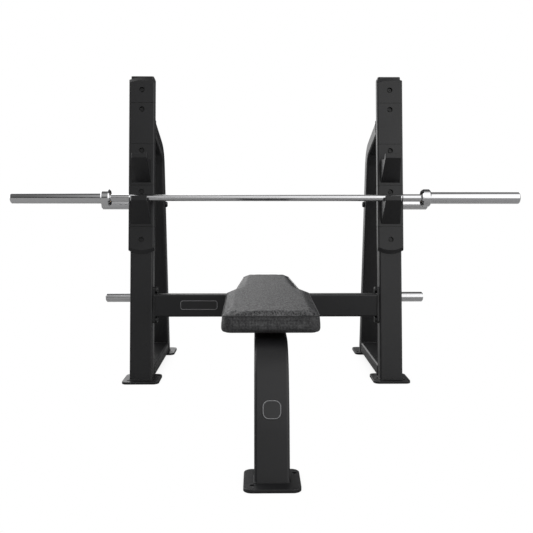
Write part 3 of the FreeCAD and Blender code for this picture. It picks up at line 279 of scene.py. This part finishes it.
def pad_cover(name, seam_height):
    """Grained vinyl above the seam, a woven-look band below it."""
    mat, tree, shader = principled(name, Specular_IOR_Level=0.45, Sheen_Weight=0.0)
    place = position(tree)
    split = node(tree, "ShaderNodeSeparateXYZ")
    tree.links.new(place, split.inputs[0])
    band = maths(tree, "LESS_THAN", split.outputs[2], seam_height)

    cells = node(tree, "ShaderNodeTexVoronoi", Scale=520.0, feature="SMOOTH_F1", Smoothness=0.4)
    tree.links.new(place, cells.inputs["Vector"])
    grain = maths(tree, "ADD", cells.outputs["Distance"], noise(tree, place, 1400.0, 2.0))
    lengthways = node(tree, "ShaderNodeMapping")
    lengthways.inputs["Scale"].default_value = (1.0, 0.30, 1.0)
    tree.links.new(place, lengthways.inputs["Vector"])
    speckle = noise(tree, lengthways.outputs["Vector"], 190.0, 3.0, 0.8)
    speckle = remap(tree, speckle, 0.38, 0.62, 0.0, 1.0)
    top_colour = blended(tree, speckle, (0.010, 0.010, 0.011), (0.070, 0.070, 0.072))

    flat = node(tree, "ShaderNodeAttribute", attribute_name="band")
    run = node(tree, "ShaderNodeSeparateXYZ")
    tree.links.new(flat.outputs["Vector"], run.inputs[0])
    pitch = math.pi / 0.0043
    rising = maths(tree, "ADD", run.outputs[0], run.outputs[1])
    falling = maths(tree, "SUBTRACT", run.outputs[0], run.outputs[1])
    one = maths(tree, "SINE", maths(tree, "MULTIPLY", rising, pitch))
    two = maths(tree, "SINE", maths(tree, "MULTIPLY", falling, pitch))
    weave = remap(tree, maths(tree, "MULTIPLY", one, two), -0.5, 0.5, 0.0, 1.0, True)
    band_colour = blended(tree, weave, (0.012, 0.012, 0.013), (0.062, 0.062, 0.064))

    colour = node(tree, "ShaderNodeMix", data_type="RGBA")
    tree.links.new(band, colour.inputs["Factor"])
    tree.links.new(top_colour, colour.inputs[6])
    tree.links.new(band_colour, colour.inputs[7])
    tree.links.new(colour.outputs[2], shader.inputs["Base Color"])
    height = node(tree, "ShaderNodeMix", data_type="FLOAT")
    tree.links.new(band, height.inputs["Factor"])
    tree.links.new(grain, height.inputs[2])
    tree.links.new(weave, height.inputs[3])
    tree.links.new(bump(tree, height.outputs[0], 0.00035, 0.8), shader.inputs["Normal"])
    tree.links.new(remap(tree, band, 0.0, 1.0, 0.48, 0.40), shader.inputs["Roughness"])
    tree.links.new(remap(tree, speckle, 0.0, 1.0, 0.15, 0.75), shader.inputs["Specular IOR Level"])
    return mat


STEEL = grained("powder_coat", (0.008, 0.008, 0.009), (0.012, 0.012, 0.013), 0.39, 900.0, 0.00012)
LINER = grained("liner_plastic", (0.009, 0.009, 0.010), (0.013, 0.013, 0.014),
                0.40, 1500.0, 0.00006, 9.0)
CAP = grained("cap_plastic", (0.014, 0.014, 0.014), (0.02, 0.02, 0.02), 0.42, 1300.0, 0.00005)
OXIDE = grained("black_oxide", (0.006, 0.006, 0.007), (0.012, 0.012, 0.013), 0.40, 700.0, 0.00004, 40.0)
BADGE = grained("badge", (0.012, 0.012, 0.013), (0.018, 0.018, 0.019), 0.32, 1200.0, 0.00003, 20.0)
RIM = grained("badge_rim", (0.26, 0.26, 0.27), (0.34, 0.34, 0.35), 0.35, 1200.0, 0.00003, 20.0)
PIPING = grained("piping", (0.016, 0.016, 0.017), (0.026, 0.026, 0.027), 0.5, 900.0, 0.00012, 30.0)
SLEEVE_CHROME = chrome("sleeve_chrome", (0.80, 0.80, 0.81), 0.11)
BAR_CHROME = chrome("bar_chrome", (0.76, 0.76, 0.77), 0.12, True)
PEG_CHROME = chrome("peg_chrome", (0.78, 0.78, 0.79), 0.12)
ZINC = chrome("zinc", (0.62, 0.61, 0.58), 0.34)
BRONZE = chrome("bronze", (0.62, 0.42, 0.20), 0.36)
WOOD = wood("plywood")

BY_SLOT = {
    "frame_paint": STEEL,
    "liner_plastic": LINER,
    "cap_plastic": CAP,
    "black_fastener": OXIDE,
    "badge": BADGE,
    "sleeve_chrome": SLEEVE_CHROME,
    "bar_chrome": BAR_CHROME,
    "peg_chrome": PEG_CHROME,
    "zinc_fastener": ZINC,
    "bronze": BRONZE,
    "plywood": WOOD,
    "pad_vinyl": PIPING,
}


def paint(obj, mat):
    obj.data.materials.clear()
    obj.data.materials.append(mat)


for part in frame["record"]["subparts"]:
    paint(NODES[part["node"]], BY_SLOT[part["material_slot"]])


def added(obj, mat, body="frame"):
    """Finish a piece that the CAD model doesn't have."""
    paint(obj, mat)
    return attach(obj, body)


# ---------------------------------------------------------------- welds
def heading(lean):
    """Direction in the YZ plane, leaning back from +Z."""
    return Vector((0, math.sin(lean), math.cos(lean)))


def weld_line(centre, lean, plane_point, plane_normal, depth=TUBE_DEPTH, width=TUBE_WIDTH):
    """Where a rounded tube along heading(lean) meets a plane."""
    along = heading(lean)
    across = heading(lean + math.pi / 2)
    line = []
    for p in rounded_rectangle(width, depth, TUBE_CORNER, WELD_STEP):
        start = centre + Vector((p.x, 0, 0)) + across * p.y
        reach = (plane_point - start).dot(plane_normal) / along.dot(plane_normal)
        line.append(start + along * reach)
    return line


def weld(name, lines, radius=0.0030):
    verts, faces = [], []
    for line in lines:
        append_tube(verts, faces, line, radius, 8, 0.16, max(3, round(len(line) / 3)))
    return added(new_object(name, verts, faces), STEEL)


def both(line):
    """A line and its mirror image across the middle."""
    return [line, [Vector((-p.x, p.y, p.z)) for p in line]]


foot_plane = Vector((0, 0, FOOT_TOP + WELD_LIFT))
UP = Vector((0, 0, 1))
upright_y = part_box("right_front_foot")[0].y + UPRIGHT_SETBACK
rear_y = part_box("right_rear_foot")[1].y - LEG_SETBACK
upright_centre = Vector((FRAME_X, upright_y + TUBE_DEPTH / 2 / math.cos(UPRIGHT_LEAN), 0))
leg_centre = Vector((FRAME_X, rear_y - TUBE_DEPTH / 2 / math.cos(LEG_LEAN), 0))
spine_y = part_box("bench_foot")[0].y + SPINE_SETBACK
spine_centre = Vector((0, spine_y + TUBE_DEPTH / 2 / math.cos(SPINE_LEAN), FOOT_TOP))
weld("frame_foot_welds", both(weld_line(upright_centre, UPRIGHT_LEAN, foot_plane, UP))
     + both(weld_line(leg_centre, LEG_LEAN, foot_plane, UP)))
weld("spine_foot_weld", [weld_line(spine_centre, SPINE_LEAN, foot_plane, UP)], 0.0022)

back_of_upright = Vector((0, math.cos(UPRIGHT_LEAN), -math.sin(UPRIGHT_LEAN)))
on_back = Vector((FRAME_X, upright_y, 0)) + back_of_upright * TUBE_DEPTH
bend = leg_centre + heading(LEG_LEAN) * (BEND_HEIGHT / math.cos(LEG_LEAN))
on_weld = on_back + back_of_upright * WELD_LIFT
weld("arm_welds", both(weld_line(bend, ARM_LEAN, on_weld, back_of_upright)))

rail_centre = Vector((FRAME_X, RAIL_MIDDLE, FOOT_TOP + RAIL_HEIGHT / 2))
front_of_leg = Vector((0, -math.cos(LEG_LEAN), math.sin(LEG_LEAN)))
on_leg = leg_centre + front_of_leg * (TUBE_DEPTH / 2)
weld("rail_welds", both(weld_line(rail_centre, math.pi / 2, on_back, back_of_upright, RAIL_HEIGHT))
     + both(weld_line(rail_centre, math.pi / 2, on_leg, front_of_leg, RAIL_HEIGHT)))

beam_low, beam_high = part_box("crossbeam")
beam_mid = (beam_low + beam_high) / 2
end_loop = [Vector((beam_high.x - WELD_LIFT, beam_mid.y + p.y, beam_mid.z + p.x))
            for p in rounded_rectangle(BEAM_HEIGHT, BEAM_DEPTH, TUBE_CORNER, WELD_STEP)]
weld("beam_welds", both(end_loop))
flange_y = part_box("spine_flange")[0].y
spine_top = beam_high.z - TUBE_DEPTH / 2
spine_loop = [Vector((p.x, flange_y - WELD_LIFT, spine_top + p.y))
              for p in rounded_rectangle(TUBE_WIDTH, TUBE_DEPTH, TUBE_CORNER, WELD_STEP)]
weld("spine_flange_weld", [spine_loop])


# ---------------------------------------------------------------- badges' raised rims
def outline_rim(name, width, height, corner, place):
    verts, faces = [], []
    line = [place(p) for p in rounded_rectangle(width, height, corner, 0.0015)]
    append_tube(verts, faces, line, RIM_RADIUS)
    return added(new_object(name, verts, faces), RIM)


low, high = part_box("beam_badge")
badge_mid = (low + high) / 2
outline_rim("beam_badge_rim", high.x - low.x - 0.004, high.z - low.z - 0.004, 0.010,
            lambda p: Vector((badge_mid.x + p.x, low.y, badge_mid.z + p.y)))


def front_face(name):
    """Middle and normal of a piece's flat front."""
    piece = NODES[name]
    flats = [face for face in piece.data.polygons
             if face.normal.y < -0.93 and abs(face.normal.x) < 0.02]
    area = sum(face.area for face in flats)
    middle = sum((face.center * face.area for face in flats), Vector()) / area
    normal = sum((face.normal * face.area for face in flats), Vector()).normalized()
    return piece.matrix_world @ middle, normal


face_mid, face_normal = front_face("leg_badge")
face_up = Vector((1, 0, 0)).cross(-face_normal).normalized()
if face_up.z < 0:
    face_up = -face_up
outline_rim("leg_badge_rim", 0.0495, 0.0495, 0.0165,
            lambda p: face_mid + Vector((p.x, 0, 0)) + face_up * p.y)


# ---------------------------------------------------------------- pad
SHOULDER_AT = 0.568          # widest and narrow points of the outline, from the head end
NECK_AT = 0.453
VOXEL = 0.004
SWELL_LIMIT = 0.0035         # how far the cloth may move a point
LAST_FRAME = 20
SEAM_DROP = 0.0115           # pad's top down to the seam


def pad_outline(inset=0.0, step=0.004):
    """The pad's edge seen from above, as (x, y), from (half width, y, corner radius) points."""
    low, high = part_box("pad_cushion")
    front, head = low.y, high.y
    half = [(0.148, front, 0.030), (0.154, head - SHOULDER_AT, 0.06),
            (0.124, head - NECK_AT, 0.05), (0.102, head, 0.026)]
    corners = half + [(-x, y, r) for x, y, r in reversed(half)]
    points = []
    count = len(corners)
    for i, (x, y, r) in enumerate(corners):
        here = Vector((x, y))
        before = (Vector(corners[i - 1][:2]) - here).normalized()
        after = (Vector(corners[(i + 1) % count][:2]) - here).normalized()
        half_angle = before.angle(after) / 2
        cut = r / math.tan(half_angle)
        centre = here + (before + after).normalized() * (r / math.sin(half_angle))
        start, end = here + before * cut - centre, here + after * cut - centre
        for k in range(9):
            turned = start.lerp(end, k / 8).normalized() * r
            points.append(centre + turned)
    points = resampled(points, step)
    if not inset:
        return points
    moved = []
    for i, p in enumerate(points):
        along = (points[(i + 1) % len(points)] - points[i - 1]).normalized()
        moved.append(p + Vector((-along.y, along.x)) * inset)
    return moved


def pad_start():
    """Closed pad form a little smaller than the finished pad, made of stacked outlines."""
    low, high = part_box("pad_cushion")
    bottom, top = low.z + 0.0005, high.z
    edge = top - 0.010
    stack = [(0.011, bottom), (0.004, bottom + 0.002), (0.0015, bottom + 0.008), (0.001, bottom + 0.026),
             (0.0015, edge - 0.003), (0.0030, edge), (0.030, top - 0.0015)]
    verts, faces = [], []
    outline = pad_outline()
    count = len(outline)
    for inset, z in stack:
        for p in pad_outline(inset):
            verts.append(Vector((p.x, p.y, z)))
    for level in range(len(stack) - 1):
        for i in range(count):
            j = (i + 1) % count
            a, b = level * count, (level + 1) * count
            faces.append((a + i, a + j, b + j, b + i))
    faces.append(tuple(reversed(range(count))))
    faces.append(tuple((len(stack) - 1) * count + i for i in range(count)))
    return new_object("pad", verts, faces)


def baked(obj):
    """Replace the object's mesh with what its modifiers make of it."""
    dg = bpy.context.evaluated_depsgraph_get()
    mesh = bpy.data.meshes.new_from_object(obj.evaluated_get(dg), depsgraph=dg)
    obj.modifiers.clear()
    old = obj.data
    obj.data = mesh
    bpy.data.meshes.remove(old)


def filled(obj, name):
    """Stretch a piece sideways and lengthwise until it is as wide and as long as a CAD piece."""
    low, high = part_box(name)
    points = [v.co.copy() for v in obj.data.vertices]
    for axis in (0, 1):
        least, most = min(p[axis] for p in points), max(p[axis] for p in points)
        stretch = (high[axis] - low[axis]) / (most - least)
        for p in points:
            p[axis] = low[axis] + (p[axis] - least) * stretch
    obj.data.vertices.foreach_set("co", [value for p in points for value in p])
    obj.data.update()


def simulated(obj, cap):
    """Blow the pad up under cloth pressure, its underside held, no point moving more than cap."""
    rest = [v.co.copy() for v in obj.data.vertices]
    floor_z = min(v.z for v in rest)
    held = obj.vertex_groups.new(name="held")
    held.add([i for i, v in enumerate(rest) if v.z < floor_z + 0.004], 1.0, "REPLACE")
    cloth = obj.modifiers.new("cloth", "CLOTH")
    settings = cloth.settings
    settings.quality = 6
    settings.mass = 0.4
    settings.tension_stiffness = 25
    settings.compression_stiffness = 25
    settings.shear_stiffness = 12
    settings.bending_stiffness = 4
    settings.use_pressure = True
    settings.uniform_pressure_force = 4.0
    settings.vertex_group_mass = "held"
    settings.effector_weights.gravity = 0
    cloth.point_cache.frame_start = 1
    cloth.point_cache.frame_end = LAST_FRAME
    scene = bpy.context.scene
    for number in range(1, LAST_FRAME + 1):
        scene.frame_set(number)
    dg = bpy.context.evaluated_depsgraph_get()
    blown = [v.co.copy() for v in obj.evaluated_get(dg).data.vertices]
    obj.modifiers.clear()
    scene.frame_set(1)
    for v, start, end in zip(obj.data.vertices, rest, blown):
        move = end - start
        if move.length > cap:
            move = move.normalized() * cap
        v.co = start + move
    obj.vertex_groups.clear()


pad = pad_start()
remesh = pad.modifiers.new("remesh", "REMESH")
remesh.mode = "VOXEL"
remesh.voxel_size = VOXEL
baked(pad)
simulated(pad, SWELL_LIMIT)
smooth = pad.modifiers.new("smooth", "SMOOTH")
smooth.factor = 0.5
smooth.iterations = 2
finer = pad.modifiers.new("finer", "SUBSURF")
finer.levels = finer.render_levels = 1
baked(pad)
filled(pad, "pad_cushion")
pad.data.polygons.foreach_set("use_smooth", [True] * len(pad.data.polygons))

SEAM_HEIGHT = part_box("pad_cushion")[1].z - SEAM_DROP


def distance_round(points):
    """Distance round a closed outline to each of its points, from the middle of the head end."""
    start = max(range(len(points)), key=lambda i: (round(points[i].y, 4), -abs(points[i].x)))
    order = points[start:] + points[:start]
    rounds = []
    walked = 0.0
    for here, after in zip(order, order[1:] + order[:1]):
        rounds.append((here, walked))
        walked += (after - here).length
    return rounds


def mark_band(obj):
    """Give each point its distance round the pad and its height, for the band's weave."""
    rounds = distance_round(pad_outline(0.0, 0.002))
    lookup = KDTree(len(rounds))
    for i, (point, walked) in enumerate(rounds):
        lookup.insert((point.x, point.y, 0), i)
    lookup.balance()
    values = []
    for v in obj.data.vertices:
        nearest = lookup.find((v.co.x, v.co.y, 0))[1]
        point, walked = rounds[nearest]
        along = (rounds[(nearest + 1) % len(rounds)][0] - rounds[nearest - 1][0]).normalized()
        walked += (Vector((v.co.x, v.co.y)) - point).dot(along)
        values += [walked, v.co.z, 0.0]
    band = obj.data.attributes.new("band", "FLOAT_VECTOR", "POINT")
    band.data.foreach_set("vector", values)


mark_band(pad)
paint(pad, pad_cover("pad_cover", SEAM_HEIGHT))

surface = BVHTree.FromObject(pad, bpy.context.evaluated_depsgraph_get())
seam = []
for p in pad_outline(-0.02, 0.003):
    nearest = surface.find_nearest(Vector((p.x, p.y, SEAM_HEIGHT)))[0]
    seam.append(Vector((nearest.x, nearest.y, SEAM_HEIGHT)))
verts, faces = [], []
append_tube(verts, faces, seam, RIM_RADIUS)
added(new_object("pad_seam", verts, faces), PIPING)
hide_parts("pad_cushion")
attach(pad, "frame")


# ---------------------------------------------------------------- studio
def lobe(tree, direction, axis, inner, outer, strength):
    """Soft-edged light panel: full inside the inner angle, nothing beyond the outer."""
    dot = node(tree, "ShaderNodeVectorMath", operation="DOT_PRODUCT")
    tree.links.new(direction, dot.inputs[0])
    dot.inputs[1].default_value = Vector(axis).normalized()
    return remap(tree, dot.outputs["Value"], math.cos(math.radians(outer)), math.cos(math.radians(inner)),
                 0.0, strength, True)


LOBES = (                    # direction, inner and outer angle in degrees, strength
    ((0.68, -0.60, 0.42), 22, 66, 1.40),
    ((-0.74, 0.53, 0.42), 38, 63, 1.65),
    ((0.0, 0.0, 1.0), 50, 115, 0.08),
)
FLOOR_HALF = 12.0
FLOOR_GREY = 0.36            # what the object sees of the floor
CONTACT_SHADOW_REACH = 0.10         # how far from a foot the painted contact shadow on the floor reaches
CAMERA_AT = (-0.0427, -2.7321, 0.7873)
CAMERA_YAW = math.radians(0.8236)
CAMERA_PITCH = math.radians(5.3688)
CAMERA_ROLL = math.radians(0.0377)
SENSOR = 36.0                # millimetres
IMAGE_WIDTH = 533.0          # pixels
FOCAL = 692.0                # pixels


def studio():
    world = bpy.data.worlds.new("studio")
    bpy.context.scene.world = world
    world.use_nodes = True
    tree = world.node_tree
    tree.nodes.clear()
    direction = node(tree, "ShaderNodeTexCoord").outputs["Generated"]
    total = None
    for axis, inner, outer, strength in LOBES:
        part = lobe(tree, direction, axis, inner, outer, strength)
        total = part if total is None else maths(tree, "ADD", total, part)
    light = node(tree, "ShaderNodeBackground")
    tree.links.new(total, light.inputs["Strength"])
    white = node(tree, "ShaderNodeBackground", Strength=1.0)
    for shader in (light, white):
        shader.inputs["Color"].default_value = (1, 1, 1, 1)
    mix = node(tree, "ShaderNodeMixShader")
    rays = node(tree, "ShaderNodeLightPath")
    tree.links.new(rays.outputs["Is Camera Ray"], mix.inputs[0])
    tree.links.new(light.outputs[0], mix.inputs[1])
    tree.links.new(white.outputs[0], mix.inputs[2])
    out = node(tree, "ShaderNodeOutputWorld")
    tree.links.new(mix.outputs[0], out.inputs["Surface"])


def studio_floor():
    corners = [(x * FLOOR_HALF, y * FLOOR_HALF, 0) for x, y in ((-1, -1), (1, -1), (1, 1), (-1, 1))]
    floor = new_object("floor", corners, [(0, 1, 2, 3)], False)
    mat = bpy.data.materials.new("floor")
    mat.use_nodes = True
    tree = mat.node_tree
    tree.nodes.clear()
    grey = node(tree, "ShaderNodeBsdfDiffuse")
    grey.inputs["Color"].default_value = (FLOOR_GREY, FLOOR_GREY, FLOOR_GREY, 1)
    # Seen by the camera the floor glows evenly white, dimmed by ambient occlusion near the feet: a painted
    # contact shadow, not one cast by the lamps.
    painted_contact_shadow = node(tree, "ShaderNodeAmbientOcclusion", Distance=CONTACT_SHADOW_REACH)
    painted_contact_shadow.samples = 8
    glow = node(tree, "ShaderNodeEmission")
    tree.links.new(remap(tree, painted_contact_shadow.outputs["AO"], 0.0, 0.8, 0.80, 1.0), glow.inputs["Strength"])
    mix = node(tree, "ShaderNodeMixShader")
    rays = node(tree, "ShaderNodeLightPath")
    tree.links.new(rays.outputs["Is Camera Ray"], mix.inputs[0])
    tree.links.new(grey.outputs[0], mix.inputs[1])
    tree.links.new(glow.outputs[0], mix.inputs[2])
    out = node(tree, "ShaderNodeOutputMaterial")
    tree.links.new(mix.outputs[0], out.inputs["Surface"])
    floor.data.materials.append(mat)


def camera():
    data = bpy.data.cameras.new("camera")
    data.sensor_width = SENSOR
    data.lens = FOCAL * SENSOR / IMAGE_WIDTH
    data.clip_end = 100.0
    obj = bpy.data.objects.new("camera", data)
    bpy.context.scene.collection.objects.link(obj)
    level = math.cos(CAMERA_PITCH)
    forward = Vector((math.sin(CAMERA_YAW) * level, math.cos(CAMERA_YAW) * level, -math.sin(CAMERA_PITCH)))
    turn = forward.to_track_quat("-Z", "Y").to_matrix().to_4x4()
    obj.matrix_world = Matrix.Translation(CAMERA_AT) @ turn @ Matrix.Rotation(CAMERA_ROLL, 4, "Z")
    bpy.context.scene.camera = obj


studio()
studio_floor()
camera()
bpy.context.scene.view_settings.view_transform = "Standard"
